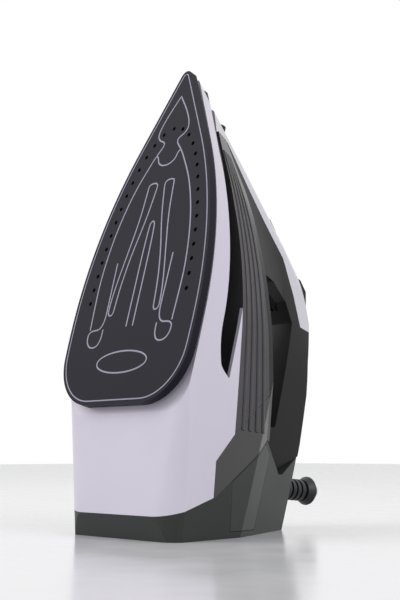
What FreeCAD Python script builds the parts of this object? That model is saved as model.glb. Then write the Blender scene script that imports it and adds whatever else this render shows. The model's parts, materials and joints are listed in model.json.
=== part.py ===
# Steam iron standing on its heel, millimetres, +Z up.
#
# Every piece is drawn in the iron's own axes and then leaned back by one placement:
#   x  across the iron, 0 on the plane of symmetry
#   w  height above the sole face, towards the handle (+Y before leaning)
#   u  along the iron, towards the tip (+Z before leaning)
# A side-view point is written (w, u).
import FreeCAD, Part
import math
import os
from FreeCAD import Placement, Rotation, Vector

SIZES = [
    # whole iron
    ("lean_angle", 15.35), ("floor_drop", 63.5), ("rest_shift", 68.0), ("reach", 400),
    ("shell_wall", 2.4), ("running_gap", 0.3), ("seam_gap", 0.2),
    # soleplate and its outline
    ("sole_tip", 240), ("sole_rear", 14), ("sole_half", 58.4), ("widest_at", 70),
    ("flank_share", 0.9), ("sole_tip_radius", 5), ("sole_corner_radius", 34),
    ("sole_tail_radius", 400), ("sole_plate", 2), ("sole_rim_top", 5), ("sole_rim_wall", 1.8),
    ("steam_hole_radius", 1.4), ("hole_pitch", 9.4), ("arch_half", 44.9), ("arch_foot", 73.9),
    ("arch_rise", 123.3),
    # casting, element and steam chamber
    ("flange_top", 6), ("casting_top", 14), ("casting_inset", 12), ("duct_near", 7),
    ("duct_far", 19), ("duct_depth", 1.8), ("element_radius", 3.5), ("element_spread", 29),
    ("element_rear", 34), ("element_turn", 155), ("pin_radius", 1.6), ("pin_rise", 12),
    ("chamber_half", 18), ("chamber_rear", 66), ("chamber_front", 166), ("chamber_floor", 6),
    ("chamber_lip", 4), ("seal_thickness", 0.8), ("lid_thickness", 1.5),
    # heat shield
    ("shield_inset", 5), ("shield_low", 6), ("shield_top", 20), ("shield_wall", 1.8),
    # outer body: the hull narrows upwards and its nose slopes back
    ("hull_half", 55.7), ("hull_low", 8), ("hull_draft", 0.1), ("nose_foot", 244.5),
    ("nose_slope", 0.795), ("hull_shoulder", 80), ("hull_crown", 143), ("crown_half", 19),
    ("hull_rear", 90), ("hull_tail_radius", 1500), ("hull_corner_radius", 14),
    ("skirt_low", 8.5), ("nose_seam", 25), ("keel_start", 40), ("keel_round_fore", 6),
    ("keel_round_aft", 27), ("keel_half_aft", 48.5), ("apron_top", 11), ("apron_foot_w", 20), ("apron_foot_u", 46),
    ("deck_thickness", 4), ("tank_front", 205),
    # handle
    ("grip_half", 21), ("grip_top", 143), ("grip_under", 117), ("grip_fillet", 6),
    ("gap_front", 126), ("gap_rear", 14),
    # dial and thermostat
    ("dial_at", 48), ("dial_radius", 18), ("dial_height", 8), ("dial_floor", 81),
    ("dial_wall", 2.5), ("spindle_radius", 2.5), ("thermostat_side", 24),
    ("thermostat_height", 9),
    # steam valve and slider
    ("valve_at", 163), ("rod_radius", 1.8), ("valve_bore", 2.2), ("rod_top", 87.2),
    ("slider_w", 95), ("slider_half", 4.5), ("slider_length", 9), ("slider_slot", 17.4),
    ("slider_rise", 3.5), ("slider_depth", 4),
    # buttons and pumps
    ("button_gap", 1.2), ("button_width", 8.6), ("button_front", 143), ("button_rear", 114),
    ("pump_at", 136.5), ("pump_x", 5.2), ("pump_radius", 4.6), ("pump_bore", 3.6),
    ("pump_low", 78), ("pump_high", 104), ("piston_radius", 3.5), ("piston_top", 116),
    ("stem_radius", 1.3), ("spring_radius", 2.4), ("spring_wire", 0.4),
    ("lens_at", 92), ("lens_radius", 2.8), ("lens_w", 133),
    # filler
    ("filler_half", 8), ("pin_half", 5.2), ("ear_near", 3), ("ear_far", 5.5), ("filler_low_w", 60), ("filler_high_w", 82), ("door_thickness", 2.4),
    ("pin_thin", 0.7), ("hinge_relief", 5.2),
    # nozzle
    ("nozzle_w", 37), ("nozzle_radius", 3.8), ("nozzle_bore", 0.8), ("nozzle_length", 12),
    ("nozzle_start", 206),
    ("tube_radius", 1.8), ("tube_bore", 1.1),
    # cord entry
    ("guard_w", 128), ("guard_u", -2), ("guard_tilt", 10.5), ("trunnion_radius", 8),
    ("trunnion_half", 11), ("guard_radius", 7.2), ("guard_length", 52), ("bulb_radius", 9.6),
    ("cord_bore_radius", 3.6), ("rib_count", 6),
    # fasteners
    ("screw_radius", 1.8), ("screw_head", 3.4), ("screw_head_rise", 2),
]

doc = FreeCAD.newDocument("steam_iron")
sheet = doc.addObject("Spreadsheet::Sheet", "sizes")
for row, (alias, value) in enumerate(SIZES, start=1):
    sheet.set(f"A{row}", alias)
    sheet.set(f"B{row}", str(value))
    sheet.setAlias(f"B{row}", alias)
doc.recompute()


class Size:
    """A number from the sheet together with the expression that binds it."""

    def __init__(self, value, text):
        self.value = value
        self.text = text

    def join(self, other, sign, value):
        text = other.text if isinstance(other, Size) else repr(other)
        return Size(value, f"({self.text} {sign} {text})")

    def __add__(self, other):
        return self.join(other, "+", self.value + number(other))

    def __sub__(self, other):
        return self.join(other, "-", self.value - number(other))

    def __mul__(self, other):
        return self.join(other, "*", self.value * number(other))

    def __truediv__(self, other):
        return self.join(other, "/", self.value / number(other))

    def __neg__(self):
        return Size(-self.value, f"(0 - {self.text})")


def number(value):
    """The plain number of a Size, or the number itself."""
    return value.value if isinstance(value, Size) else float(value)


def s(alias):
    """The named size as something that can be bound."""
    return Size(float(sheet.get(alias)), f"sizes.{alias}")


def n(alias):
    """The named size as a plain number."""
    return float(sheet.get(alias))


LEAN = Placement(Vector(0, -n("rest_shift"), n("floor_drop")),
                 Rotation(Vector(1, 0, 0), -n("lean_angle")))
PARTS = []


def keep(obj, label):
    """Lean the finished sub-part back and list it for export."""
    obj.Label = label
    obj.Placement = LEAN
    PARTS.append(obj)
    return obj


def bind(obj, **values):
    """Tie properties to the sheet, or set them when they are plain numbers."""
    for prop, value in values.items():
        if isinstance(value, Size):
            obj.setExpression(prop, value.text)
        else:
            setattr(obj, prop, value)


def put(obj, at, axis=Vector(0, 0, 1)):
    """Place a primitive at (x, w, u) with its own Z along the axis."""
    obj.Placement = Placement(Vector(*[number(v) for v in at]), Rotation(Vector(0, 0, 1), axis))
    for name, value in zip("xyz", at):
        if isinstance(value, Size):
            obj.setExpression(f"Placement.Base.{name}", value.text)
    return obj


ALONG_X = Vector(1, 0, 0)
ALONG_W = Vector(0, 1, 0)
ALONG_U = Vector(0, 0, 1)


def cylinder(radius, length, at, axis):
    obj = doc.addObject("Part::Cylinder", "round")
    bind(obj, Radius=radius, Height=length)
    return put(obj, at, axis)


def cone(low_radius, high_radius, length, at, axis):
    obj = doc.addObject("Part::Cone", "taper")
    bind(obj, Radius1=low_radius, Radius2=high_radius, Height=length)
    return put(obj, at, axis)


def box(size, corner):
    obj = doc.addObject("Part::Box", "block")
    bind(obj, Length=size[0], Width=size[1], Height=size[2])
    return put(obj, corner)


def fuse(*shapes):
    obj = doc.addObject("Part::MultiFuse", "joined")
    obj.Shapes = list(shapes)
    return obj


def cut(base, *tools):
    obj = doc.addObject("Part::Cut", "cut")
    obj.Base = base
    obj.Tool = tools[0] if len(tools) == 1 else fuse(*tools)
    return obj


def common(first, second):
    obj = doc.addObject("Part::Common", "overlap")
    obj.Base = first
    obj.Tool = second
    return obj


def group(*shapes):
    """Separate solids that share one node."""
    obj = doc.addObject("Part::Compound", "group")
    obj.Links = list(shapes)
    return obj


def solid(shape, name="formed"):
    """A shape made with Part's own functions, as an object of the document."""
    obj = doc.addObject("Part::Feature", name)
    obj.Shape = shape
    return obj


def flank_radius(tip, half, tip_radius):
    """Radius of the side arc, a share of the one that would meet the tip arc with no flank."""
    ahead = tip - tip_radius - n("widest_at")
    limit = (half ** 2 + ahead ** 2 - tip_radius ** 2) / (2 * (half - tip_radius))
    return n("flank_share") * limit


def outline(w, tip, half, rear, tip_radius, tail_radius, corner_radius, inset=0):
    """Teardrop wire at height w: tip arc, straight flanks, side arcs, corners, rear edge."""
    flank = flank_radius(tip, half, tip_radius) - inset
    tail = tail_radius - inset
    tip_radius = max(tip_radius - inset, 0.4)
    corner, half = corner_radius - inset, half - inset
    rear, tip, wide = rear + inset, tip - inset, n("widest_at")
    side = Vector(half - flank, 0, wide)
    nose = Vector(0, 0, tip - tip_radius)
    span = nose - side
    turn = math.atan2(span.z, span.x) - math.acos((flank - tip_radius) / span.Length)
    normal = Vector(math.cos(turn), 0, math.sin(turn))
    tail_x = half - tail
    drop = rear + corner - wide
    corner_x = tail_x + math.sqrt((tail - corner) ** 2 - drop ** 2)
    middle = Vector(corner_x, 0, rear + corner)
    out = (middle - Vector(tail_x, 0, wide)).normalize()
    low, high = -math.pi / 2, math.atan2(out.z, out.x)
    bend = (low + high) / 2
    rear_in = Vector(corner_x, 0, rear)
    rear_mid = middle + Vector(math.cos(bend), 0, math.sin(bend)) * corner
    rear_out = middle + out * corner
    tail_mid = Vector(tail_x, 0, wide) + Vector(math.cos(high / 2), 0, math.sin(high / 2)) * tail
    widest = Vector(half, 0, wide)
    flank_mid = side + Vector(math.cos(turn / 2), 0, math.sin(turn / 2)) * flank
    flank_end = side + normal * flank
    tip_side = nose + normal * tip_radius
    right = [rear_in, rear_mid, rear_out, tail_mid, widest, flank_mid, flank_end, tip_side]
    left = [Vector(-p.x, 0, p.z) for p in right]
    top = Vector(0, 0, tip)

    def arc(a, b, c):
        return Part.Arc(a, b, c).toShape()

    def line(a, b):
        return Part.LineSegment(a, b).toShape()

    edges = [line(left[0], right[0]), arc(*right[0:3]), arc(*right[2:5]), arc(*right[4:7]),
             line(right[6], right[7]), arc(right[7], top, left[7]), line(left[7], left[6]),
             arc(left[6], left[5], left[4]), arc(left[4], left[3], left[2]),
             arc(left[2], left[1], left[0])]
    wire = Part.Wire(edges)
    wire.translate(Vector(0, w, 0))
    return wire


def sole_outline(w, inset=0):
    return outline(w, n("sole_tip"), n("sole_half"), n("sole_rear"), n("sole_tip_radius"),
                   n("sole_tail_radius"), n("sole_corner_radius"), inset)


def slab(wire, thickness):
    """A plate between the wire's height and that much higher."""
    return Part.Face(wire).extrude(Vector(0, thickness, 0))


def nose_at(w):
    """Station of the sloping nose at height w."""
    return n("nose_foot") - n("nose_slope") * w


def hull(inset=0):
    """The body's outer form, or the same form inset by a wall."""
    low, shoulder, crown = n("hull_low") - 3, n("hull_shoulder"), n("hull_crown") + 3
    halves = [n("hull_half"), n("hull_half") - n("hull_draft") * (shoulder - low),
              n("crown_half")]
    tips = [n("sole_tip_radius"), n("sole_tip_radius") * 2, n("sole_tip_radius") * 3]
    rear = -n("hull_rear") - 4
    wires = [outline(w, nose_at(w), half, rear, tip, n("hull_tail_radius"),
                     n("hull_corner_radius"), inset)
             for w, half, tip in zip([low, shoulder, crown], halves, tips)]
    return Part.makeLoft(wires, True, True).common(keel(inset))


def keel_section(u, half, radius, inset):
    """Cross-section at station u: flat underneath with rounded lower corners."""
    run = (n("apron_foot_w") - n("skirt_low")) / (n("apron_top") + n("apron_foot_u"))
    low = n("skirt_low") + (n("apron_top") - u) * run + inset
    half, radius, top = half - inset, max(radius - inset, 1), n("reach") / 2
    dip = radius * (1 - math.sqrt(0.5))
    left, right = half * -1, half
    low_l, low_r = Vector(left + radius, low, u), Vector(right - radius, low, u)
    mid_r, up_r = Vector(right - dip, low + dip, u), Vector(right, low + radius, u)
    mid_l, up_l = Vector(left + dip, low + dip, u), Vector(left, low + radius, u)
    far_r, far_l = Vector(right, top, u), Vector(left, top, u)
    edges = [Part.LineSegment(low_l, low_r), Part.Arc(low_r, mid_r, up_r),
             Part.LineSegment(up_r, far_r), Part.LineSegment(far_r, far_l),
             Part.LineSegment(far_l, up_l), Part.Arc(up_l, mid_l, low_l)]
    return Part.Wire([edge.toShape() for edge in edges])


def keel(inset=0):
    """Limits the hull towards the heel: the apron's plane and its rounded corners."""
    start, end = n("keel_start"), -n("hull_rear")
    fore = keel_section(start, n("hull_half") + 1.5, n("keel_round_fore"), inset)
    aft = keel_section(end, n("keel_half_aft"), n("keel_round_aft"), inset)
    room = n("reach") / 2
    ahead = Part.makeBox(2 * room, 2 * room, room, Vector(-room, -10, start))
    return Part.makeLoft([fore, aft], True, True).fuse(ahead)


def column(inset=0):
    """The handle's form: a nose that broadens upwards and a straight-sided grip."""
    grip = n("grip_half")
    levels = [(18, 2.2 * grip, 5), (60, 1.6 * grip, 11), (104, grip, 16),
              (n("grip_top") + 6, grip, 16)]
    rear = -n("hull_rear") - 4
    wires = [outline(w, nose_at(w), half, rear, tip, n("hull_tail_radius"),
                     n("hull_corner_radius"), inset)
             for w, half, tip in levels]
    return Part.makeLoft(wires, True, True)


def prism(points, half=None):
    """A side-view polygon of (w, u) points pushed out to both sides."""
    half = n("reach") / 4 if half is None else half
    corners = [Vector(-half, w, u) for w, u in points]
    face = Part.Face(Part.makePolygon(corners + corners[:1]))
    return face.extrude(Vector(2 * half, 0, 0))


def floor_at(w):
    """Station where the surface under the heel meets height w."""
    lean = math.radians(n("lean_angle"))
    return (w * math.sin(lean) - n("floor_drop")) / math.cos(lean)


# Side-view lines, each a list of (w, u) points.
SEAM = [(24.7, 205), (24.5, 190), (28, 149), (36, 104), (46, 54), (55, 11)]
RIM = [(32, 205), (38, 190), (46, 172), (51, 136), (61, 98), (79, 42), (88, 17)]
NOTCH = [(55, 11), (44, -8), (49, -28)]
WINDOW = [(44, -8), (55, 11), (79, 42), (88, 17), (84.1, 11.5), (50.9, -26.9), (49, -28)]
HEEL_TOP = [(49, -28), (50.9, -26.9), (84.1, 11.5), (88, 17), (118, 3), (124, 5), (142.6, 21)]
PANEL = [(62, -15.5), (70, -42.5), (97, -35.5), (97, 10.5), (88, 14.6), (84.1, 9.1)]
STRIP = [(24, 245), (24, 205.2), (38, 205.2), (60, 182), (79, 165), (101, 147), (116, 125), (126, 106)]
CREST = [(118, 147), (123, 137), (130, 125), (135.5, 112), (137.5, 85), (141, 63), (143, 30),
         (143, 21.9)]
FINGER_GAP = [(30, 128), (92, 126), (108, 118), (117, 106), (117, 34), (112, 22), (100, 15),
              (30, 14)]
GAP_WALL = [(30, 130.4), (93, 128.4), (109.5, 120), (119.4, 107), (119.4, 33), (113.5, 20.2),
            (101, 12.8), (30, 11.6)]


def raised(points, rise):
    """The same side-view line, higher above the sole."""
    return [(w + rise, u) for w, u in points]


def drill(radius, x, u, low=0, high=160):
    """A tool that bores along w at (x, u)."""
    return Part.makeCylinder(radius, high - low, Vector(x, low, u), Vector(0, 1, 0))


def block(x, w, u):
    """A box from three (low, high) pairs."""
    return Part.makeBox(x[1] - x[0], w[1] - w[0], u[1] - u[0], Vector(x[0], w[0], u[0]))


def on_slope(along, out, middle=None):
    """Side-view point on the nose slope: along it, and out of it."""
    middle = n("slider_w") if middle is None else middle
    lean = math.atan(n("nose_slope"))
    w = middle + along * math.cos(lean) + out * math.sin(lean)
    u = nose_at(middle) - along * math.sin(lean) + out * math.cos(lean)
    return (w, u)


def slope_prism(along, out, half, middle=None):
    """A block lying on the nose slope, from two (low, high) pairs."""
    corners = [on_slope(a, o, middle) for a, o in
               ((along[0], out[0]), (along[1], out[0]), (along[1], out[1]), (along[0], out[1]))]
    return prism(corners, half)


def tube(points, radius, bends):
    """A round solid along straight runs joined by tangent arcs."""
    points = [Vector(*p) for p in points]
    edges, start = [], points[0]
    for before, corner, after, bend in zip(points, points[1:], points[2:], bends):
        back = (before - corner).normalize()
        ahead = (after - corner).normalize()
        half = back.getAngle(ahead) / 2
        run = bend / math.tan(half)
        first, last = corner + back * run, corner + ahead * run
        inward = (back + ahead).normalize()
        middle = corner + inward * (bend / math.sin(half) - bend)
        edges += [Part.LineSegment(start, first).toShape(),
                  Part.Arc(first, middle, last).toShape()]
        start = last
    edges.append(Part.LineSegment(start, points[-1]).toShape())
    path = Part.Wire(edges)
    ring = Part.Wire(Part.makeCircle(radius, points[0], points[1] - points[0]))
    return path.makePipeShell([ring], True, False)


# ---- sole group ----------------------------------------------------------------------

def hole_places():
    """Steam-hole centres, evenly spaced along a half ellipse, apex first."""
    places, travelled, turn, step = [(0, n("arch_foot") + n("arch_rise"))], 0.0, 0.0, 0.0005
    while turn < math.pi / 2:
        turn += step
        across, along = n("arch_half") * math.cos(turn), n("arch_rise") * math.sin(turn)
        travelled += step * math.hypot(across, along)
        if travelled >= n("hole_pitch"):
            travelled -= n("hole_pitch")
            x = n("arch_half") * math.sin(turn)
            u = n("arch_foot") + n("arch_rise") * math.cos(turn)
            places += [(x, u), (-x, u)]
    return places


def soleplate():
    plate = slab(sole_outline(0), n("sole_rim_top"))
    tray = slab(sole_outline(n("sole_plate"), n("sole_rim_wall")), n("sole_rim_top"))
    holes = [drill(n("steam_hole_radius"), x, u, -1, 4) for x, u in hole_places()]
    keep(solid(plate.cut([tray] + holes)), "soleplate")


def heater_casting():
    gap, low, top = n("running_gap"), n("sole_plate"), n("casting_top")
    flange = slab(sole_outline(low, n("sole_rim_wall") + gap), n("flange_top") - low)
    raised_part = slab(sole_outline(low, n("casting_inset")), top - low)
    duct = slab(sole_outline(low, n("duct_near")), n("duct_depth"))
    duct = duct.cut(slab(sole_outline(low, n("duct_far")), n("duct_depth")))
    half, spread = n("chamber_half"), n("element_spread")
    chamber = block((-half, half), (n("chamber_floor"), top), (n("chamber_rear"),
                                                              n("chamber_front")))
    ports = [block((side * (half + 8) - 8, side * (half + 8) + 8), (low, n("chamber_floor") + 1),
                   (n("chamber_rear") + 6, n("chamber_rear") + 10)) for side in (-1, 1)]
    body = flange.fuse(raised_part).cut([duct, chamber, element_form(gap)])
    drops = [drill(2, side * (half - 4), n("chamber_rear") + 8, low - 1, top)
             for side in (-1, 1)]
    drops += [drill(n("screw_radius"), x, u, n("flange_top"), top + 1) for x, u in screw_spots()]
    body = body.cut(drops + [port.common(slab(sole_outline(low, 3), 3)) for port in ports])
    keep(solid(body.removeSplitter()), "heater_casting")


def element_form(extra=0):
    """The element's U, lying half above the casting."""
    level, spread = n("casting_top") - n("element_radius") + 1, n("element_spread")
    rear, turn, radius = n("element_rear"), n("element_turn"), n("element_radius") + extra
    legs = [Part.makeCylinder(radius, turn - rear, Vector(side * spread, level, rear),
                              Vector(0, 0, 1)) for side in (-1, 1)]
    bend = Part.makeTorus(spread, radius, Vector(0, level, turn), Vector(0, 1, 0))
    front = block((-100, 100), (0, 60), (turn, turn + 100))
    shape = bend.common(front).fuse(legs)
    if extra:
        slots = [block((side * spread - radius, side * spread + radius), (level, 60),
                       (rear - 8, turn)) for side in (-1, 1)]
        ring = drill(spread + radius, 0, turn, level, 60).cut(drill(spread - radius, 0, turn,
                                                                    level, 60))
        shape = shape.fuse(slots + [ring.common(front)])
    return shape.removeSplitter()


def heating_element():
    level, spread = n("casting_top") - n("element_radius") + 1, n("element_spread")
    pins = [drill(n("pin_radius"), side * spread, n("element_rear") + 5, level,
                  level + n("pin_rise")) for side in (-1, 1)]
    keep(solid(element_form().fuse(pins).removeSplitter()), "heating_element")


def chamber_lid_parts():
    top, half, lip = s("casting_top"), s("chamber_half"), s("chamber_lip")
    long = s("chamber_front") - s("chamber_rear")
    low, rise = top + s("seal_thickness"), s("lid_thickness")

    def plate(base, thick, grow):
        return box([(half + grow) * 2, thick, long + grow * 2],
                   [-(half + grow), base, s("chamber_rear") - grow])

    seal = cut(plate(top, s("seal_thickness"), lip - 1.2), plate(top, s("seal_thickness"),
                                                                 lip * 0))
    keep(seal, "chamber_seal")
    inlet = cylinder(s("valve_bore"), rise * 3, [0.0, low - rise, s("valve_at")], ALONG_W)
    keep(cut(plate(low, rise, lip - 1.2), inlet), "chamber_lid")


def thermostat_parts():
    side, at = s("thermostat_side"), s("dial_at")
    base = s("casting_top")
    case = box([side, s("thermostat_height"), side], [-(side / 2), base, at - side / 2])
    collar = cylinder(s("spindle_radius") + 2.5, 4.0, [0.0, base + s("thermostat_height"), at],
                      ALONG_W)
    bore = cylinder(s("spindle_radius") + 0.1, 12.0, [0.0, base + 5, at], ALONG_W)
    keep(cut(fuse(case, collar), bore), "thermostat")
    start = base + 5.5
    spindle = cylinder(s("spindle_radius"), s("dial_floor") + 5 - start, [0.0, start, at],
                       ALONG_W)
    keep(group(spindle), "thermostat_spindle")
    fuse_at = [15.2, base + 2.5, at - 12]
    keep(group(cylinder(2.4, 22.0, fuse_at, ALONG_U)), "thermal_fuse")


def screw_spots():
    return [(0, 204), (-40, 62), (40, 62)]


def heat_shield():
    gap, wall, top = n("running_gap"), n("shield_wall"), n("shield_top")
    low = n("shield_low")
    shell = slab(sole_outline(low, n("shield_inset")), top - low)
    shell = shell.cut(slab(sole_outline(low, n("shield_inset") + wall), top - low - wall))
    holes = [drill(n("screw_radius") + 0.2, x, u) for x, u in screw_spots()]
    holes.append(drill(n("valve_bore") + 2.1, 0, n("valve_at")))
    side = n("thermostat_side") / 2 + 1
    holes.append(block((-side, side + 6), (10, 40), (n("dial_at") - side, n("dial_at") + side)))
    holes += [drill(n("pin_radius") + 1.4, x, n("element_rear") + 5) for x in
              (-n("element_spread"), n("element_spread"))]
    shell = shell.cut(holes)
    posts = [drill(4.5, x, u, n("casting_top"), top - wall / 2).cut(
        drill(n("screw_radius") + 0.2, x, u)) for x, u in screw_spots()]
    keep(solid(shell.fuse(posts).removeSplitter()), "heat_shield")


def screw(x, u, low, high):
    """A pan-head screw along w, head uppermost."""
    shank = cylinder(s("screw_radius"), number(high) - number(low), [float(x), low, float(u)],
                     ALONG_W)
    head = cylinder(s("screw_head"), s("screw_head_rise"), [float(x), high, float(u)], ALONG_W)
    return fuse(shank, head)


def sole_screws():
    low = s("flange_top") + 0.5
    keep(group(*[screw(x, u, low, s("shield_top")) for x, u in screw_spots()]), "sole_screws")


def valve_parts():
    at, bore = s("valve_at"), s("valve_bore")
    low = s("casting_top") + s("seal_thickness") + s("lid_thickness")
    tall = 26.2 - low.value
    ring = cut(cylinder(bore + 1.8, tall, [0.0, low, at], ALONG_W),
               cylinder(bore, tall + 4, [0.0, low - 2, at], ALONG_W))
    keep(ring, "valve_seat")
    start = low + 2
    rod = fuse(cylinder(s("rod_radius"), s("rod_top") - start, [0.0, start, at], ALONG_W),
               cylinder(s("rod_radius") + 1.6, 2.0, [0.0, s("rod_top") - 2, at], ALONG_W))
    keep(rod, "steam_valve_rod")


def skirt():
    foot = (n("apron_foot_w"), -n("apron_foot_u"))
    wall, low = n("shell_wall"), n("skirt_low")
    side = [(low, 260), (low, n("apron_top")), foot] + NOTCH[::-1] + SEAM[::-1][1:]
    outer = hull().common(prism(side + [(n("nose_seam"), 260)]))
    hollow = [(low + wall, 300), (low + wall, n("apron_top")), (foot[0] + wall, foot[1]),
              (foot[0] + wall, -90), (90, -90), (90, 300)]
    mouth = slab(sole_outline(0, n("shield_inset") - n("running_gap")), 40)
    keep(solid(outer.cut([hull(wall).common(prism(hollow)), mouth])), "skirt")


def water_tank():
    """The ridged vessel: closed all round, with a filling mouth, a valve post and a tunnel."""
    wall, gap, front = n("shell_wall"), n("seam_gap"), n("tank_front")
    side = raised(SEAM[:-1], gap) + [(55.4, 11.6), (78.9, 42.3)] + RIM[:-2][::-1]
    form = hull().common(prism(side))
    hollow = [(27.3 + gap, front - wall), (27.1 + gap, 190), (30.4 + gap, 149),
              (38.4 + gap, 104), (48.4 + gap, 54), (55.5, 22), (74.5, 43), (58.5, 98),
              (48.5, 136), (43.5, 172), (36, 188), (30.4, front - wall)]
    body = form.cut(hull(wall).common(prism(hollow)))
    posts = [spindle_tunnel(n("spindle_radius") + 3), drill(n("valve_bore") + 2.2, 0,
                                                            n("valve_at"))]
    body = body.fuse([post.common(form) for post in posts])
    port = block((-8, 8), (31, 33.4), (n("valve_at") - 1.2, n("valve_at") + 1.2))
    tools = [spindle_tunnel(n("spindle_radius") + 0.6), drill(n("valve_bore"), 0, n("valve_at")),
             port, filler_mouth()]
    tools += [drill(n("tube_radius") + 0.2, side * n("pump_x"), n("pump_at"), 40, 80)
              for side in (-1, 1)]
    keep(solid(body.cut(tools).removeSplitter()), "water_tank")


def filler_mouth():
    half = n("filler_half")
    return block((-half, half), (33, 60), (184.2, 195.3))


def spindle_tunnel(radius):
    return drill(radius, 0, n("dial_at"), 20, 100)


def tank_cover():
    """The black deck over the tank, with the round seat that the dial turns in."""
    rise = n("deck_thickness")
    line = RIM[:-1] + [(88, 17)]
    plate = hull().common(prism(raised(line, 0.1) + raised(line, rise)[::-1]))
    seat = Part.makeCylinder(n("dial_radius") + n("dial_wall"), n("dial_floor") - 66,
                             Vector(0, 66, n("dial_at")), Vector(0, 1, 0))
    seat = seat.common(prism(raised(line, 0.1) + [(120, 17), (120, 205)]))
    well = Part.makeCylinder(n("dial_radius") + 0.8, 40, Vector(0, n("dial_floor"),
                                                              n("dial_at")), Vector(0, 1, 0))
    plate = plate.fuse(seat).cut(well).cut(spindle_tunnel(n("spindle_radius") + 0.2))
    tools = [drill(n("valve_bore"), 0, n("valve_at")), filler_mouth()]
    tools += [drill(n("tube_radius") + 0.2, side * n("pump_x"), n("pump_at"))
              for side in (-1, 1)]
    keep(solid(plate.cut(tools).removeSplitter()), "tank_cover")


def windows():
    wall = n("shell_wall")
    band = hull().cut(hull(wall)).common(prism(WINDOW))
    for label, side in (("level_window_left", -1), ("level_window_right", 1)):
        half = Part.makeBox(100, 300, 300, Vector(0 if side > 0 else -100, 0, -100))
        keep(solid(band.common(half)), label)


def handle_form():
    """Outer handle: nose, grip and rear pillar, with the finger gap."""
    rise = n("deck_thickness") + 0.2
    deck = raised(RIM[:-1], rise)
    side = [(n("nose_seam") + 0.2, 300), (118, 300)] + CREST
    side += [(124, 5.4), (118, 3.4), (88 + rise, 17.4)] + deck[::-1]
    side += [(n("nose_seam") + 0.2, n("tank_front") + 0.3)]
    return column().common(prism(side)).cut(prism(FINGER_GAP))


def handle_hollow():
    """The room inside the handle, open towards the deck and the heel."""
    wall = n("shell_wall")
    side = [(10, 300), (118 - wall, 300)] + raised(CREST, -wall)
    side += [(CREST[-1][0] - wall, -90), (10, -90)]
    return column(wall).common(prism(side)).cut(prism(GAP_WALL))


def strip_zone(lift=0):
    return prism(raised(STRIP, lift) + [(170, 106), (170, 245)])


def rounded_grip(shape):
    """Round the long edges of the grip, above and under the fingers."""
    radius, half = n("grip_fillet"), n("grip_half")
    lean = n("gap_rear") + 20
    edges = [e for e in shape.Edges
             if abs(abs(e.CenterOfMass.x) - half) < 0.6 and e.CenterOfMass.y > 110
             and lean < e.CenterOfMass.z < 105 and e.Length > 8]
    return shape.makeFillet(radius, edges)


def handle_parts():
    shell = handle_form().cut(handle_hollow())
    buttons = block((-2 * n("button_width") / 2 - 1.2, n("button_width") + 1.2), (100, 150),
                    (n("button_rear") - 0.5, n("button_front") + 0.5))
    lens = drill(n("lens_radius") + 0.1, 0, n("lens_at"), 125, 150)
    lower = shell.cut([strip_zone(), buttons, lens])
    keep(solid(lower.removeSplitter()), "handle_shell")
    cover = shell.common(strip_zone(n("seam_gap")))
    slot = slope_prism((-n("slider_slot") / 2, n("slider_slot") / 2), (-8, 8),
                       n("slider_half") + 0.3)
    half = n("filler_half")
    door = prism([(n("filler_low_w"), 150), (n("filler_low_w"), 260),
                  (n("filler_high_w"), 260), (n("filler_high_w"), 150)], half)
    jet = Part.makeCylinder(n("nozzle_radius") + 0.2, 30, Vector(0, n("nozzle_w"), 200),
                            Vector(0, 0, 1))
    cover = cover.cut([buttons, slot, door.cut(ears()), jet, pin_bore()])
    keep(solid(cover.removeSplitter()), "top_cover")


def door_axis():
    """Where the filler door's pin runs, in the middle of the cover's wall."""
    w = n("filler_high_w") - 1.8
    return w, nose_at(w) - n("door_thickness") / 2


def pin_bore():
    w, u = door_axis()
    half = n("pin_half") + 0.1
    return Part.makeCylinder(n("pin_thin") + 0.05, 2 * half, Vector(-half, w, u), ALONG_X)


def ears(gap=0):
    """The two lugs of the cover that carry the filler door's pin, or room for them."""
    w, u = door_axis()
    lugs = [block((side * (n("ear_near") + n("ear_far")) / 2 - 1.25 - gap,
                   side * (n("ear_near") + n("ear_far")) / 2 + 1.25 + gap),
                  (w - 1.7 - gap, w + 4), (u - 2 - gap, u + 6)) for side in (-1, 1)]
    return lugs[0].fuse(lugs[1])


def filler_parts():
    half, thick = n("filler_half"), n("door_thickness")
    skin = column().cut(column(thick))
    low, high = n("filler_low_w") + 0.4, n("filler_high_w") - 0.8
    door = skin.common(prism([(low, 150), (low, 260), (high, 260), (high, 150)], half - 0.4))
    pin_w, pin_u = door_axis()
    keep(solid(door.cut([pin_bore(), ears(0.9)]).removeSplitter()), "fill_door")
    pin = cylinder(s("pin_thin"), s("pin_half") * 2, [-s("pin_half"), pin_w, pin_u], ALONG_X)
    keep(group(pin), "fill_door_pin")
    duct = prism([(45.6, 182.5), (39.6, 197), (56.2, 196.6), (79.2, 178.4), (79.2, 176)],
                 half + 1.5)
    inside = prism([(20, 184.2), (20, 195.3), (56, 195.3), (56, 260), (77.2, 260),
                    (77.2, 178.6)], half)
    relief = Part.makeCylinder(n("hinge_relief"), 40, Vector(-20, pin_w, pin_u),
                               Vector(1, 0, 0))
    duct = duct.cut([inside, relief]).common(column(n("shell_wall") + 0.2))
    keep(solid(duct.removeSplitter()), "filler_neck")


def slider():
    knob, plate = n("slider_length") / 2, n("slider_slot") / 2 + 3
    wall = n("shell_wall") * math.cos(math.atan(n("nose_slope")))
    depth = n("slider_depth")
    shape = slope_prism((-knob, knob), (-wall - depth, n("slider_rise")), n("slider_half"))
    shape = shape.fuse(slope_prism((-plate, plate), (-wall - depth, -wall - depth + 1.4),
                                   n("slider_half") + 2.4))
    keep(solid(shape.removeSplitter()), "steam_slider")


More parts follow.
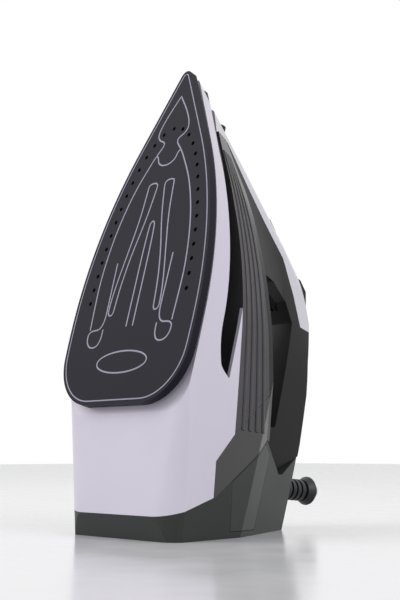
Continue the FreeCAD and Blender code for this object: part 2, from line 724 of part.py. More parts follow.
def button_parts():
    for label, side in (("spray", -1), ("steam", 1)):
        width, gap = n("button_width"), n("button_gap") / 2
        front, rear = n("button_front"), n("button_rear")
        rise = [(121.5, front), (129, front), (136.5, front - 6), (138.8, 128), (138, rear),
                (131, rear), (126, 128)]
        cap = prism(rise, 50).common(block((gap, gap + width - 0.6), (100, 160), (100, 160)))
        if side < 0:
            cap = cap.mirror(Vector(0, 0, 0), Vector(1, 0, 0))
        boss = drill(n("stem_radius") + 0.9, side * n("pump_x"), n("pump_at"),
                     n("piston_top"), 128)
        keep(solid(cap.fuse(boss).removeSplitter()), f"{label}_button")
        at = [side * n("pump_x"), s("pump_low"), s("pump_at")]
        tall = s("pump_high") - s("pump_low")
        barrel = fuse(cylinder(s("pump_radius"), tall, at, ALONG_W),
                      cylinder(s("tube_radius"), 30.0, [at[0], s("pump_low") - 30, at[2]],
                               ALONG_W))
        hollow = fuse(cylinder(s("pump_bore"), tall, [at[0], s("pump_low") + 2, at[2]], ALONG_W),
                      cylinder(s("tube_bore"), 40.0, [at[0], s("pump_low") - 34, at[2]],
                               ALONG_W))
        keep(cut(barrel, hollow), f"{label}_pump")
        head = [at[0], s("pump_high") - 10, at[2]]
        piston = fuse(cylinder(s("piston_radius"), 5.0, head, ALONG_W),
                      cylinder(s("stem_radius"), s("piston_top") - head[1], head, ALONG_W))
        keep(piston, f"{label}_piston")


def button_springs():
    for label, side in (("spray", -1), ("steam", 1)):
        low, high = n("pump_high"), n("piston_top")
        pitch = (high - low - 2 * n("spring_wire")) / 5
        coil = Part.makeHelix(pitch, pitch * 5, n("spring_radius"))
        start = Vector(n("spring_radius"), 0, 0)
        ring = Part.Wire(Part.makeCircle(n("spring_wire"), start, Vector(0, 1, 0)))
        wire = Part.Wire(coil).makePipeShell([ring], True, True)
        seat = Placement(Vector(side * n("pump_x"), low + n("spring_wire") + 0.1, n("pump_at")),
                         Rotation(ALONG_U, ALONG_W))
        coil = wire.transformed(seat.toMatrix())
        keep(solid(Part.makeCompound([coil])), f"{label}_spring")


def dial_part():
    low, at = s("dial_floor") + 0.2, s("dial_at")
    disc = cylinder(s("dial_radius"), s("dial_height"), [0.0, low, at], ALONG_W)
    ring = [cylinder(1.4, s("dial_height") + 2,
                     [n("dial_radius") * math.sin(math.radians(turn)), low - 1,
                      n("dial_at") + n("dial_radius") * math.cos(math.radians(turn))], ALONG_W)
            for turn in range(0, 360, 20)]
    socket = cylinder(s("spindle_radius") + 0.05, 6.0, [0.0, low - 1, at], ALONG_W)
    keep(cut(disc, socket, *ring), "temperature_dial")


def lens_parts():
    low = n("lens_w")
    lens = fuse(cylinder(s("lens_radius"), 6.0, [0.0, low, s("lens_at")], ALONG_W),
                cylinder(s("lens_radius") + 1.5, 1.2, [0.0, low - 0.6, s("lens_at")], ALONG_W))
    keep(lens, "indicator_lens")
    keep(group(cylinder(s("lens_radius") - 0.5, 6.0, [0.0, low - 6.8, s("lens_at")], ALONG_W)),
         "indicator_lamp")


def nozzle_parts():
    start = n("nozzle_start")
    jet = fuse(cylinder(s("nozzle_radius"), s("nozzle_length"), [0.0, s("nozzle_w"), start],
                        ALONG_U),
               cylinder(s("nozzle_radius") + 0.8, 1.6, [0.0, s("nozzle_w"), start], ALONG_U))
    bore = cylinder(s("nozzle_bore"), s("nozzle_length") + 4, [0.0, s("nozzle_w"), start - 2],
                    ALONG_U)
    keep(cut(jet, bore), "spray_nozzle")


# ---- heel ----------------------------------------------------------------------------

def heel_parts():
    wall, foot = n("shell_wall"), (n("apron_foot_w") - 0.1, -n("apron_foot_u") - 0.2)
    low, back = 26.4, 142.6
    side = [foot, (low, floor_at(low)), (back, floor_at(back))] + HEEL_TOP[::-1]
    outer = hull().common(prism(side))
    floor_wall = [(low + wall + 0.8, floor_at(low) + 3.4),
                  (back - wall, floor_at(back - wall) + wall + 0.3)]
    inner = [(foot[0] + wall + 0.8, -44)] + floor_wall + [(back - wall, 15), (124, 1.8),
                                                          (117, 0), (87, 14), (87, 60), (23.5, 60)]
    pillar = column(wall).common(prism(floor_wall + [(back - wall, 60), (94, 60), (94, 0)]))
    shell = outer.cut([hull(wall).common(prism(inner)), pillar])
    panels = shell.common(prism(PANEL))
    grown = prism([(61.8, -15.2), (69.8, -42.8), (97.2, -35.8), (97.2, 10.7), (88, 14.9),
                   (84.1, 9.4)])
    exit_slot = block((-8.2, 8.2), (135, 150), (-13, 15))
    keep(solid(shell.cut([grown, exit_slot]).removeSplitter()), "heel_cover")
    for label, sign in (("heel_panel_left", -1), ("heel_panel_right", 1)):
        half = block((0, 100) if sign > 0 else (-100, 0), (0, 300), (-100, 200))
        keep(solid(panels.common(half)), label)


def cord_guard():
    """Trunnion, ringed sleeve and end bulb, hollow for the cord."""
    lean = math.radians(n("guard_tilt"))
    aim = Vector(0, math.cos(lean), math.sin(lean))
    pivot = Vector(0, n("guard_w"), n("guard_u"))
    half, radius, long = n("trunnion_half"), n("guard_radius"), n("guard_length")
    body = Part.makeCylinder(n("trunnion_radius"), 2 * half, pivot - ALONG_X * half, ALONG_X)
    sleeve = Part.makeCylinder(radius - 1.4, long, pivot, aim)
    pitch = (long - 24) / n("rib_count")
    rings = [Part.makeCylinder(radius, pitch * 0.62, pivot + aim * (18 + i * pitch), aim)
             for i in range(int(n("rib_count")))]
    bulb = Part.makeCone(radius, n("bulb_radius"), 5, pivot + aim * (long - 5), aim)
    cap = Part.makeCone(n("bulb_radius"), radius - 2, 6, pivot + aim * long, aim)
    neck = Part.makeCylinder(radius, 14, pivot, aim)
    bore = Part.makeCylinder(n("cord_bore_radius"), long + 40, pivot - aim * 20, aim)
    shape = body.fuse([sleeve, neck, bulb, cap] + rings).cut(bore)
    keep(solid(shape.removeSplitter()), "cord_guard")


def guard_cradle():
    """The saddle on the heel's floor that the guard's trunnion turns in."""
    w, u, half = n("guard_w"), n("guard_u"), n("trunnion_half") + 2
    seat = Part.makeCylinder(n("trunnion_radius") + n("running_gap"), 60, Vector(-30, w, u),
                             ALONG_X)
    shape = block((-half, half), (w - 11, w + 3), (-60, u + 11))
    above = prism([(w - 30, floor_at(w - 30) + n("shell_wall") + 0.3), (w - 30, 60), (w + 30, 60),
                   (w + 30, floor_at(w + 30) + n("shell_wall") + 0.3)])
    mouth = block((-8.6, 8.6), (w - 2, w + 20), (-60, 60))
    keep(solid(shape.common(above).cut([seat, mouth]).removeSplitter()), "guard_cradle")


def terminal_parts():
    low = floor_at(84) + n("shell_wall") + 0.6
    block_body = box([30.0, 12.0, 14.0], [-15.0, 84.0, low + 3.2])
    ways = [cylinder(1.5, 20.0, [float(x), 80.0, low + 8], ALONG_W) for x in (-9, 0, 9)]
    ways += [cylinder(1.5, 9.0, [float(x), 90.0, low + 9], ALONG_U) for x in (-9, 0, 9)]
    keep(cut(block_body, *ways), "terminal_block")
    feet = [cylinder(1.4, 6.0, [float(x), 90.0, low + 13], ALONG_U) for x in (-9, 0, 9)]
    keep(group(*feet), "terminal_screws")


def tubes():
    """The short hoses from the pumps to their ways through the deck."""
    for label, side in (("spray", -1), ("steam", 1)):
        x, u = side * n("pump_x"), n("pump_at") + n("pump_radius") + 0.2
        route = [(x, 84, u), (x, 84, u + 8), (2 * x, 66, u + 14), (2 * x, 52.6, u + 16)]
        keep(solid(tube(route, n("tube_radius"), (5, 8))), f"{label}_tube")


def leads():
    """The two insulated wires from the terminal block to the element's pins."""
    for label, side in (("live", -1), ("neutral", 1)):
        spread, top = n("element_spread"), n("casting_top") + n("pin_rise")
        route = [(side * 9, 90, -19), (side * 9, 90, -4), (side * 14, 60, 2),
                 (side * spread, 44, 20), (side * spread, 30, 39), (side * spread, 23, 39)]
        keep(solid(tube(route[:5] + [(side * spread, top - 2, 39)], 1.5, (8, 12, 12, 5))),
             f"{label}_lead")


def cord_clamp():
    low = n("guard_w") - 24
    floor = floor_at(low) + n("shell_wall") + 0.3
    bar = block((-14, 14), (low, low + 8), (floor + 9, floor + 12.5))
    seat = block((-14, 14), (low, low + 8), (floor - 4, floor + 2.6))
    seat = seat.common(prism([(low - 9, floor_at(low - 9) + n("shell_wall") + 0.3),
                              (low - 9, 60), (low + 19, 60),
                              (low + 19, floor_at(low + 19) + n("shell_wall") + 0.3)]))
    posts = [Part.makeCylinder(3.4, 9 - 2.6, Vector(x, low + 4, floor + 2.6), ALONG_U)
             for x in (-9.5, 9.5)]
    keep(solid(bar.fuse([seat] + posts).removeSplitter()), "cord_clamp")


MAKERS = [tubes, leads, cord_clamp, soleplate, heater_casting, heating_element, chamber_lid_parts, thermostat_parts,
          heat_shield, sole_screws, valve_parts, skirt, water_tank, tank_cover, windows,
          handle_parts, filler_parts, slider, button_parts, button_springs, dial_part,
          lens_parts, nozzle_parts, heel_parts, cord_guard, guard_cradle, terminal_parts]
for make in MAKERS:
    make()

doc.recompute()
os.makedirs("parts", exist_ok=True)
for obj in doc.Objects:
    if "Invalid" in obj.State or "Error" in obj.State:
        raise SystemExit(f"{obj.Name} failed: {obj.State}")
for part in PARTS:
    shape = part.Shape
    if shape.isNull() or not shape.isValid():
        raise SystemExit(f"{part.Label} has no valid shape")
for part in PARTS:
    shape = part.Shape
    shape.exportStep(f"parts/{part.Label}.step")
    print(f"{part.Label:24s} solids {len(shape.Solids):2d}  volume {shape.Volume:10.1f}")
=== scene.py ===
# %% [markdown]
# # A steam iron standing on its heel
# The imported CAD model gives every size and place. Its mouldings and working pieces keep
# their CAD shape, with the real holes and seams, and get a finish. Only what the CAD leaves
# out, such as the printed lines of the sole, is added as thin surfaces worked out with numpy.

# %% Imports and the frame
import json
import math

import bpy
import bmesh
import numpy as np
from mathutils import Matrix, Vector


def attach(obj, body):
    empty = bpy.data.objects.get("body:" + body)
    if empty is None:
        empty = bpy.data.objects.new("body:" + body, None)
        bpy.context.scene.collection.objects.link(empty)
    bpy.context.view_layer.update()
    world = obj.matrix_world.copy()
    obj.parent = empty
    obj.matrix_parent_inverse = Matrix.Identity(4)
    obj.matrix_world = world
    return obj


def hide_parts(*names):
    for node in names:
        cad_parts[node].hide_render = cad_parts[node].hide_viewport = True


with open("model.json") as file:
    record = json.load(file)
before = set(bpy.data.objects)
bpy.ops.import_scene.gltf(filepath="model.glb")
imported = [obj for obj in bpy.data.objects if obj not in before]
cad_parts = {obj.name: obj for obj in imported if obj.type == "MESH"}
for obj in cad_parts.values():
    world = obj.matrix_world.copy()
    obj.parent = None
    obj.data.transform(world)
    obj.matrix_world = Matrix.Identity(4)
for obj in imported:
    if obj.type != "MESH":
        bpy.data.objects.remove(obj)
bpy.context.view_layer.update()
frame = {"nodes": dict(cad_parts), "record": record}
MOUNTS = {mount["name"]: mount for mount in frame["record"]["mounts"]}

# %% [markdown]
# ## The camera first
# A portrait lens close to the iron gives the strong perspective of a product shot. The
# camera stands low, beside the sole, and looks up a little along the leaning body.

# %% Camera
CAMERA_PLACE = Vector((0.4815, -0.4488, 0.0479))
CAMERA_TURN, CAMERA_TILT, CAMERA_LENS = math.radians(46.58), math.radians(8.37), 63.0


def add_camera():
    """A camera that looks along its turn from +Y and its tilt above the horizon."""
    data = bpy.data.cameras.new("camera")
    data.sensor_width, data.lens = 36.0, CAMERA_LENS
    data.clip_start = 0.01
    camera = bpy.data.objects.new("camera", data)
    bpy.context.scene.collection.objects.link(camera)
    aim = Vector((-math.sin(CAMERA_TURN) * math.cos(CAMERA_TILT),
                  math.cos(CAMERA_TURN) * math.cos(CAMERA_TILT), math.sin(CAMERA_TILT)))
    camera.location = CAMERA_PLACE
    camera.rotation_euler = aim.to_track_quat("-Z", "Y").to_euler()
    bpy.context.scene.camera = camera


add_camera()

# %% [markdown]
# ## The iron's own axes
# The body leans back, so shapes are far easier to write in the iron's own axes: x across,
# w above the sole face and u along the iron towards the tip, in millimetres. The lean and
# the place of the sole face come from the sole's mount, so nothing is typed twice.

# %% From the iron's axes to the row frame
SOLE = MOUNTS["sole_face"]
UP_FROM_SOLE = -np.array(SOLE["axis"], float)
UP_FROM_SOLE /= np.linalg.norm(UP_FROM_SOLE)
ALONG = np.array([0.0, -UP_FROM_SOLE[2], UP_FROM_SOLE[1]])
SOLE_POINT = np.array(SOLE["pos_m"], float)
SOLE_POINT_U = 50.0
ORIGIN = SOLE_POINT - ALONG * SOLE_POINT_U / 1000
LEAN = math.atan2(ALONG[1], ALONG[2])
print("lean", round(math.degrees(LEAN), 2), "sole start above the floor", ORIGIN[2])


def to_row(x, w, u):
    """Points (x, w, u) in millimetres as an array of row-frame points in metres."""
    x, w, u = np.broadcast_arrays(x, w, u)
    across = np.array([1.0, 0.0, 0.0])
    return ORIGIN + (x[..., None] * across + w[..., None] * UP_FROM_SOLE
                     + u[..., None] * ALONG) / 1000


# %% [markdown]
# ## Grids become meshes
# A surface is a rectangular array of points. Neighbouring rows and columns make quads. One
# helper turns such arrays into one object, joins the last column to the first if asked,
# merges doubled points and smooths it.

# %% Mesh helpers
def grid_faces(rows, columns, wrap=False):
    """Quads between neighbouring points of a rows by columns grid."""
    r, c = np.meshgrid(np.arange(rows - 1), np.arange(columns if wrap else columns - 1),
                       indexing="ij")
    nxt = (c + 1) % columns
    return np.stack([r * columns + c, r * columns + nxt, (r + 1) * columns + nxt,
                     (r + 1) * columns + c], -1).reshape(-1, 4)


def mesh_piece(name, grids, wrap=False, merge=0.02):
    """One object from one or more grids of row-frame points, with its doubles merged."""
    points, faces, start = [], [], 0
    for grid in grids:
        rows, columns = grid.shape[:2]
        points.append(grid.reshape(-1, 3))
        faces.append(grid_faces(rows, columns, wrap) + start)
        start += rows * columns
    mesh = bpy.data.meshes.new(name)
    mesh.from_pydata(np.concatenate(points).tolist(), [], np.concatenate(faces).tolist())
    piece = bpy.data.objects.new(name, mesh)
    bpy.context.scene.collection.objects.link(piece)
    work = bmesh.new()
    work.from_mesh(mesh)
    bmesh.ops.remove_doubles(work, verts=work.verts, dist=merge / 1000)
    bmesh.ops.dissolve_degenerate(work, edges=work.edges, dist=1e-6)
    bmesh.ops.recalc_face_normals(work, faces=work.faces)
    work.to_mesh(mesh)
    work.free()
    mesh.shade_smooth()
    return piece


def finish_piece(piece, body, slot, material, *nodes):
    """Material, body and the CAD nodes that the piece stands for; the slot is not used."""
    piece.data.materials.append(material)
    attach(piece, body)
    if nodes:
        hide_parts(*nodes)
    print(piece.name, len(piece.data.polygons), "faces")
    return piece


# %% [markdown]
# ## Finishes
# Nearly everything on an iron is injection-moulded plastic, and the sole is aluminium under
# a ceramic coat. What tells them apart is gloss and the fine surface: a polished tool gives
# a mirror-like skin with faint waves, an eroded tool gives a satin grain.

# %% Colour and node helpers
def srgb(code):
    """A hex colour as linear red, green, blue and alpha."""
    channels = [int(code[i:i + 2], 16) / 255 for i in (1, 3, 5)]
    return [c / 12.92 if c <= 0.04045 else ((c + 0.055) / 1.055) ** 2.4
            for c in channels] + [1.0]


def add_node(tree, kind, settings=None, links=None):
    """Add a node, set its sockets or properties by name, and link its inputs."""
    node = tree.nodes.new(kind)
    for key, value in (settings or {}).items():
        if key in node.inputs:
            node.inputs[key].default_value = value
        else:
            setattr(node, key, value)
    for key, source in (links or {}).items():
        tree.links.new(source, node.inputs[key])
    return node


def moulded(name, colour, shade, roughness, grain_mm, bump, coat=0.0, alpha=1.0, metal=0.0,
            spread=0.06, shine=0.5):
    """A moulded or coated skin: two close colours, uneven gloss and a fine grain.

    Colour and gloss follow slow noise tens of millimetres across, the way a tool wears.
    The bump follows grain at its real size.
    """
    material = bpy.data.materials.new(name)
    material.use_nodes = True
    tree = material.node_tree
    shader = tree.nodes["Principled BSDF"]
    place = add_node(tree, "ShaderNodeTexCoord").outputs["Object"]
    slow = add_node(tree, "ShaderNodeTexNoise", {"Scale": 28.0, "Detail": 3.0},
                    {"Vector": place}).outputs["Fac"]
    fine = add_node(tree, "ShaderNodeTexNoise", {"Scale": 1000.0 / grain_mm, "Detail": 2.0},
                    {"Vector": place}).outputs["Fac"]
    tint = add_node(tree, "ShaderNodeMix", {"data_type": "RGBA"}, {"Factor": slow})
    tint.inputs[6].default_value, tint.inputs[7].default_value = srgb(colour), srgb(shade)
    gloss = add_node(tree, "ShaderNodeMapRange",
                     {"To Min": max(roughness - spread, 0.02), "To Max": roughness + spread},
                     {"Value": slow})
    relief = add_node(tree, "ShaderNodeBump", {"Strength": bump, "Distance": grain_mm / 8000},
                      {"Height": fine})
    tree.links.new(tint.outputs[2], shader.inputs["Base Color"])
    tree.links.new(gloss.outputs["Result"], shader.inputs["Roughness"])
    tree.links.new(relief.outputs["Normal"], shader.inputs["Normal"])
    shader.inputs["Metallic"].default_value = metal
    shader.inputs["Specular IOR Level"].default_value = shine
    shader.inputs["Coat Weight"].default_value = coat
    shader.inputs["Coat Roughness"].default_value = 0.08
    shader.inputs["Alpha"].default_value = alpha
    return material


# %% The iron's finishes
# Fired ceramic coat on aluminium: dark, even, with hardly any sheen.
CERAMIC = moulded("ceramic_coated_aluminium", "#14131c", "#1b1926", 0.5, 0.5, 0.12, spread=0.04,
                  shine=0.12)
# Ceramic ink fired onto the coat: pale and matt. The same colour also paints a highlight ring
# along the sole's edge bevel.
INK_AND_EDGE_HIGHLIGHT = moulded("silver_grey_ink_and_painted_edge_highlight", "#908ca0", "#a29eb0", 0.42, 0.4, 0.1)
# Moulded ABS from a polished tool: a soft, pale gloss.
SKIRT = moulded("lavender_white_abs", "#cfcada", "#d6d1df", 0.34, 0.7, 0.08, coat=0.15)
# Moulded ABS with a silver pigment: paler and glossier than the skirt.
STRIP = moulded("pale_silver_abs", "#cdcad3", "#d8d5dd", 0.26, 0.7, 0.06, coat=0.35)
# Moulded ABS from an eroded tool: a fine satin grain.
BLACK = moulded("satin_black_abs", "#141416", "#1b1b1d", 0.36, 0.5, 0.15, shine=0.25)
# Moulded ABS from a mirror tool: sharper reflections.
GLOSS_BLACK = moulded("gloss_black_abs", "#0c0c0d", "#121213", 0.2, 0.8, 0.05, shine=0.35)
# Grey satin ABS: grain that hides scuffs where the iron stands.
HEEL = moulded("dark_grey_satin_abs", "#2b2d2c", "#323433", 0.42, 0.45, 0.2, shine=0.25)
# The heel's panel, a little smoother than the heel.
PANEL = moulded("dark_grey_panel_abs", "#303231", "#383a39", 0.36, 0.45, 0.15, shine=0.3)
# Phenolic moulding, which stands heat: dull and black.
SHIELD = moulded("black_phenolic", "#0b0b0c", "#101011", 0.55, 0.4, 0.3)
# Soft PVC of the cord guard: a broad, weak sheen.
RUBBER = moulded("black_cord_rubber", "#17181c", "#1f2025", 0.48, 0.5, 0.3)
# Clear tinted acrylic over the lamp: a hard gloss.
LENS = moulded("amber_indicator_lens", "#c8542a", "#d8683a", 0.12, 0.8, 0.03, coat=0.6)
# Smoked acrylic level window: nearly black, glossy.
WINDOW = moulded("dark_smoke_window", "#1a1618", "#241e20", 0.18, 0.9, 0.04, coat=0.5)
# Plain grey ABS of the steam lever.
GREY = moulded("mid_grey_abs", "#6d6d72", "#77777c", 0.34, 0.5, 0.1)
# Frosted filler plastic, which lets a little light through.
CLEAR = moulded("frosted_filler_plastic", "#b9bac2", "#c4c5cc", 0.28, 0.6, 0.06, alpha=0.85)
# Smoked polycarbonate of the tank: a clear, smooth gloss.
TANK = moulded("dark_smoke_polycarbonate", "#3f3d3f", "#4a484b", 0.28, 0.8, 0.04, shine=0.35)
# Drawn steel of springs, screws and spindle.
STEEL = moulded("drawn_spring_steel", "#9c9ca0", "#a8a8ac", 0.3, 0.3, 0.1, metal=1.0)
# Cast aluminium: a coarse, dull metal skin.
CAST = moulded("cast_aluminium", "#a3a3a6", "#b0b0b3", 0.45, 0.8, 0.5, metal=1.0)
# Natural nylon and acetal of the inner pieces.
NYLON = moulded("natural_nylon", "#dcdad2", "#e4e2da", 0.45, 0.5, 0.1)
# Red silicone of seals and hoses.
SILICONE = moulded("red_silicone", "#a8483c", "#b45448", 0.5, 0.5, 0.1)
print(len(bpy.data.materials), "materials")

# %% [markdown]
# ## The teardrop
# Seen from below an iron is a tip arc, two nearly straight flanks, long side arcs and a
# gently narrowing tail. That outline gives the half width at any station. The same
# formula with other sizes gives the sole and each level of the body.

# %% Outline of the sole and the body
WIDEST = 70.0
TIP_RADIUS = 5.0
FLANK_SHARE = 0.9


def teardrop(u, tip, half, tip_radius, tail_radius, inset=0.0):
    """Half width at station u: circle at the tip, tangent line, side circle, tail circle."""
    ahead = tip - tip_radius - WIDEST
    flank = FLANK_SHARE * (half ** 2 + ahead ** 2 - tip_radius ** 2) / (
        2 * (half - tip_radius))
    side_x = half - flank
    span_x, span_u = -side_x, ahead
    reach = np.hypot(span_x, span_u)
    turn = np.arctan2(span_u, span_x) - np.arccos((flank - tip_radius) / reach)
    r, big, tail = tip_radius - inset, flank - inset, tail_radius - inset
    join_u, join_x = WIDEST + big * np.sin(turn), side_x + big * np.cos(turn)
    tip_u = tip - tip_radius + r * np.sin(turn)
    on_tip = np.sqrt(np.clip(r ** 2 - (u - (tip - tip_radius)) ** 2, 0, None))
    on_line = join_x - (u - join_u) * np.tan(turn)
    on_side = side_x + np.sqrt(np.clip(big ** 2 - (u - WIDEST) ** 2, 0, None))
    on_tail = half - tail_radius + np.sqrt(np.clip(tail ** 2 - (u - WIDEST) ** 2, 0, None))
    x = np.where(u > tip_u, on_tip, np.where(u > join_u, on_line,
                                             np.where(u > WIDEST, on_side, on_tail)))
    return np.clip(x, 0, None)


SOLE_TIP, SOLE_REAR, SOLE_HALF, SOLE_CORNER, SOLE_TAIL = 240.0, 14.0, 58.4, 34.0, 400.0


def sole_ring(inset, count=160):
    """Closed outline of the sole as (x, u), the rear corners rounded, inset by a distance."""
    corner = SOLE_CORNER - inset
    centre_x = SOLE_HALF - SOLE_TAIL + math.sqrt(
        (SOLE_TAIL - SOLE_CORNER) ** 2 - (SOLE_REAR + SOLE_CORNER - WIDEST) ** 2)
    centre_u = SOLE_REAR + SOLE_CORNER
    steps = np.linspace(0, 1, count) ** 1.7
    u_side = (SOLE_TIP - inset) - steps * (SOLE_TIP - inset - centre_u)
    x_side = teardrop(u_side, SOLE_TIP, SOLE_HALF, TIP_RADIUS, SOLE_TAIL, inset)
    turn = np.linspace(0.06, math.pi / 2, 24)
    x_corner = centre_x + corner * np.cos(turn)
    u_corner = centre_u - corner * np.sin(turn)
    x = np.concatenate([x_side, x_corner, [centre_x * 0.5]])
    u = np.concatenate([u_side, u_corner, [SOLE_REAR + inset]])
    return (np.concatenate([x, -x[::-1][:-1]]), np.concatenate([u, u[::-1][:-1]]))


# %% [markdown]
# ## Finishing the CAD pieces
# Each CAD piece carries one material slot from the record. A table from slot to finish
# gives every piece, seen or hidden, the surface that its real one has.

# %% Finishes by slot
FINISHES = {
    "ceramic_sole": CERAMIC, "cast_aluminium": CAST, "element_sheath": STEEL,
    "silicone": SILICONE, "lid_plate": STEEL, "steatite": NYLON, "spindle_steel": STEEL,
    "fuse_glass": NYLON, "phenolic_black": SHIELD, "zinc_steel": STEEL,
    "lavender_white": SKIRT, "smoke_tank": TANK, "black_gloss": GLOSS_BLACK,
    "black_satin": BLACK, "silver_grey": STRIP, "heel_grey": HEEL, "guard_rubber": RUBBER,
    "window_dark": WINDOW, "heel_panel_grey": PANEL, "clear_smoke": CLEAR,
    "slider_grey": GREY, "button_black": BLACK, "pump_acetal": NYLON, "spring_steel": STEEL,
    "hose_silicone": SILICONE, "lead_brown": SILICONE, "lead_blue": PANEL,
    "dial_black": BLACK, "lens_amber": LENS, "lamp_body": NYLON, "nozzle_black": BLACK,
    "nylon_white": NYLON,
}


def dress_nodes():
    """Put the finish of each part's slot on its CAD object."""
    for part in frame["record"]["subparts"]:
        node = frame["nodes"][part["node"]]
        node.data.materials.clear()
        node.data.materials.append(FINISHES[part["material_slot"]])


dress_nodes()
print(len(frame["nodes"]), "CAD pieces finished")

# %% [markdown]
# ## Lines on the sole
# The sole carries pale lines that guide the eye from the tip to the steam holes. On the
# real plate they are ink fired onto the coat. Here each line is a thin raised ribbon along
# a smooth curve, so it shows from every side. The pale ring just inside the sole's edge
# is not ink but a painted highlight of the edge bevel, made as the same ribbon.

# %% Ribbons
LINE_WIDTH, LINE_HEIGHT = 1.0, 0.08


def smooth_path(points, count=90):
    """Chaikin rounding by whole arrays: each run gives its quarter points, four times over."""
    path = np.array(points, float)
    for _ in range(4):
        inner = np.stack([path[:-1] * 0.75 + path[1:] * 0.25,
                          path[:-1] * 0.25 + path[1:] * 0.75], 1).reshape(-1, 2)
        path = np.concatenate([path[:1], inner, path[-1:]])
    step = np.concatenate([[0], np.cumsum(np.hypot(*np.diff(path, axis=0).T))])
    even = np.linspace(0, step[-1], count)
    return np.stack([np.interp(even, step, path[:, 0]), np.interp(even, step, path[:, 1])], 1)


def ribbon(path, width=LINE_WIDTH):
    """A low box section carried along a path of (x, u), just proud of the sole face."""
    run = np.gradient(path, axis=0)
    side = np.stack([-run[:, 1], run[:, 0]], 1) / np.hypot(*run.T)[:, None] * width / 2
    left, right = path - side, path + side
    rows = [(left, 0.02), (left, -LINE_HEIGHT), (right, -LINE_HEIGHT), (right, 0.02)]
    return np.stack([to_row(edge[:, 0], w, edge[:, 1]) for edge, w in rows], 1)


# %% Sole lines
# Distances are (across, back from the tip). Each is drawn on both sides.
TIP_FOLD = [(0, 19), (10, 33), (15, 44), (12, 49), (6.5, 51), (6, 54), (12, 60.5), (18, 70),
            (25, 82), (31, 97), (35.5, 113), (38.3, 130), (39.5, 146), (39, 160), (38, 177)]
CUP = [(12, 60.5), (9.5, 61), (8, 66), (4, 68.6), (0, 69)]
HAIRPIN = [(3.5, 84), (4, 80.5), (12, 80.5), (12, 84), (13.5, 105), (18, 128), (22.5, 150),
           (24, 165), (23, 169), (19, 169), (18.5, 165), (17.5, 150), (14, 130), (7, 105),
           (3.5, 84)]
CENTRE = [(0, 108), (3, 110), (3, 177.5)]
EYELET = [(26, 133), (25.5, 155), (25, 177.5), (38.5, 177.5), (39, 184), (35, 189),
          (28, 189), (25, 184), (25, 177.5)]


def make_sole_lines():
    """Ribbons for each drawn line and its mirror, and a ring of painted edge highlight."""
    grids = []
    for points in (TIP_FOLD, CUP, HAIRPIN, CENTRE, EYELET):
        back = np.array(points, float)
        for side in (1, -1):
            path = smooth_path(np.stack([back[:, 0] * side, SOLE_TIP - back[:, 1]], 1))
            grids.append(ribbon(path))
    # The ring 2.5 mm inside the edge is a painted highlight of the edge bevel, not ink.
    x, u = sole_ring(2.5)
    grids.append(ribbon(np.stack([x, u], 1), 0.8))
    turn = np.linspace(0, 2 * math.pi, 90)
    grids.append(ribbon(np.stack([23 * np.cos(turn), SOLE_TIP - 200 + 6.8 * np.sin(turn)], 1)))
    piece = mesh_piece("sole_lines", grids, wrap=True, merge=0.001)
    finish_piece(piece, "housing", "ceramic_sole", INK_AND_EDGE_HIGHLIGHT)


make_sole_lines()

# %% [markdown]
# ## Ridges along the tank
# The tank is blown in a tool with a few long ridges, which stiffen its flank and catch the
# light as thin bright lines. Each ridge is a low half round carried along the flank, with
# its foot sunk into the wall so that no gap shows.

# %% Tank ridges
SEAM_LINE = [(24.5, 190), (28, 149), (36, 104), (46, 54), (55, 14)]
RIM_LINE = [(38, 190), (46, 172), (61, 98), (79, 42), (86, 20)]
HULL_HALF, HULL_DRAFT, HULL_LOW, NOSE_FOOT, NOSE_SLOPE = 55.7, 0.1, 5.0, 244.5, 0.795
NOSE_LOW, NOSE_GROWTH, HULL_TAIL = 5.0, 5.0 / 75.0, 1500.0
RIDGE_HALF, RIDGE_RISE, RIDGE_FOOT, RIDGE_STEPS = 1.3, 0.9, 1.0, 9


def flank(w, u):
    """Half width of the body: the teardrop whose half and tip shrink with height."""
    half = HULL_HALF - HULL_DRAFT * (w - HULL_LOW)
    nose = NOSE_LOW + NOSE_GROWTH * (w - HULL_LOW)
    return teardrop(u, NOSE_FOOT - NOSE_SLOPE * w, half, nose, HULL_TAIL)


def make_ridges():
    """Ridges at even shares of the way from the seam to the rim, on both flanks."""
    seam, rim = smooth_path(SEAM_LINE, 80), smooth_path(RIM_LINE, 80)
    turn = np.linspace(0, math.pi, RIDGE_STEPS)
    across, out = np.cos(turn) * RIDGE_HALF, np.sin(turn) * RIDGE_RISE
    across = np.concatenate([across, across[::-1]])
    out = np.concatenate([out, np.full(RIDGE_STEPS, -RIDGE_FOOT)])
    grids = []
    for share in (0.2, 0.4, 0.6, 0.8):
        path = seam + (rim - seam) * share
        w, u = path[:, 0][:, None] + across, path[:, 1][:, None] + np.zeros_like(across)
        for side in (1, -1):
            grids.append(to_row(side * (flank(w, u) + out), w, u))
    piece = mesh_piece("tank_ridges", grids, wrap=True, merge=0.001)
    finish_piece(piece, "housing", "smoke_tank", TANK)


make_ridges()

# %% [markdown]
# ## Floor and light
# A pale glossy table, one large soft light from the left and a weaker one from the right
# give the even look of a shop shot. Rays that look past the iron see plain white.

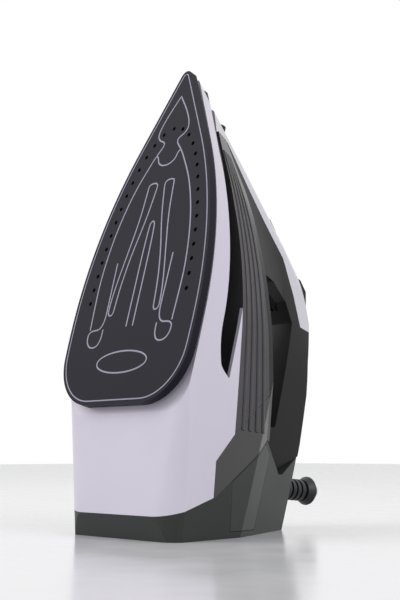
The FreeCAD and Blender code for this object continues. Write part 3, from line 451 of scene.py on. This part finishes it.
# %% Floor, lights and world
def make_stage():
    """A wide pale floor at the standing surface."""
    mesh = bpy.data.meshes.new("floor")
    mesh.from_pydata([(-4, -4, 0), (4, -4, 0), (4, 4, 0), (-4, 4, 0)], [], [(0, 1, 2, 3)])
    floor = bpy.data.objects.new("floor", mesh)
    bpy.context.scene.collection.objects.link(floor)
    floor.data.materials.append(moulded("pale_lacquered_table", "#e6e6e9", "#ececef", 0.18,
                                        1.0, 0.02))


def add_light(name, place, size, power):
    """A square area light that looks at the middle of the iron."""
    data = bpy.data.lights.new(name, "AREA")
    data.size, data.energy = size, power
    lamp = bpy.data.objects.new(name, data)
    bpy.context.scene.collection.objects.link(lamp)
    lamp.location = place
    lamp.rotation_euler = (Vector((0, 0, 0.14)) - Vector(place)).to_track_quat(
        "-Z", "Y").to_euler()


def make_world():
    """Soft grey light for surfaces, plain white for rays from the camera and mirrors."""
    world = bpy.data.worlds.new("studio")
    bpy.context.scene.world = world
    world.use_nodes = True
    tree = world.node_tree
    tree.nodes.clear()
    path = add_node(tree, "ShaderNodeLightPath")
    seen = add_node(tree, "ShaderNodeMath", {"operation": "MAXIMUM"})
    tree.links.new(path.outputs["Is Camera Ray"], seen.inputs[0])
    tree.links.new(path.outputs["Is Transmission Ray"], seen.inputs[1])
    both = add_node(tree, "ShaderNodeMath", {"operation": "MAXIMUM"})
    tree.links.new(seen.outputs[0], both.inputs[0])
    tree.links.new(path.outputs["Is Glossy Ray"], both.inputs[1])
    soft = add_node(tree, "ShaderNodeBackground", {"Color": (1, 1, 1, 1), "Strength": 0.45})
    white = add_node(tree, "ShaderNodeBackground", {"Color": (1, 1, 1, 1), "Strength": 1.0})
    mix = add_node(tree, "ShaderNodeMixShader")
    tree.links.new(both.outputs[0], mix.inputs[0])
    tree.links.new(soft.outputs[0], mix.inputs[1])
    tree.links.new(white.outputs[0], mix.inputs[2])
    out = add_node(tree, "ShaderNodeOutputWorld")
    tree.links.new(mix.outputs[0], out.inputs["Surface"])


make_stage()
add_light("left_softbox", (-0.7, -1.3, 1.1), 1.2, 16.0)
add_light("right_softbox", (1.3, 0.1, 0.9), 1.0, 9.0)
make_world()
bpy.context.scene.view_settings.view_transform = "Standard"
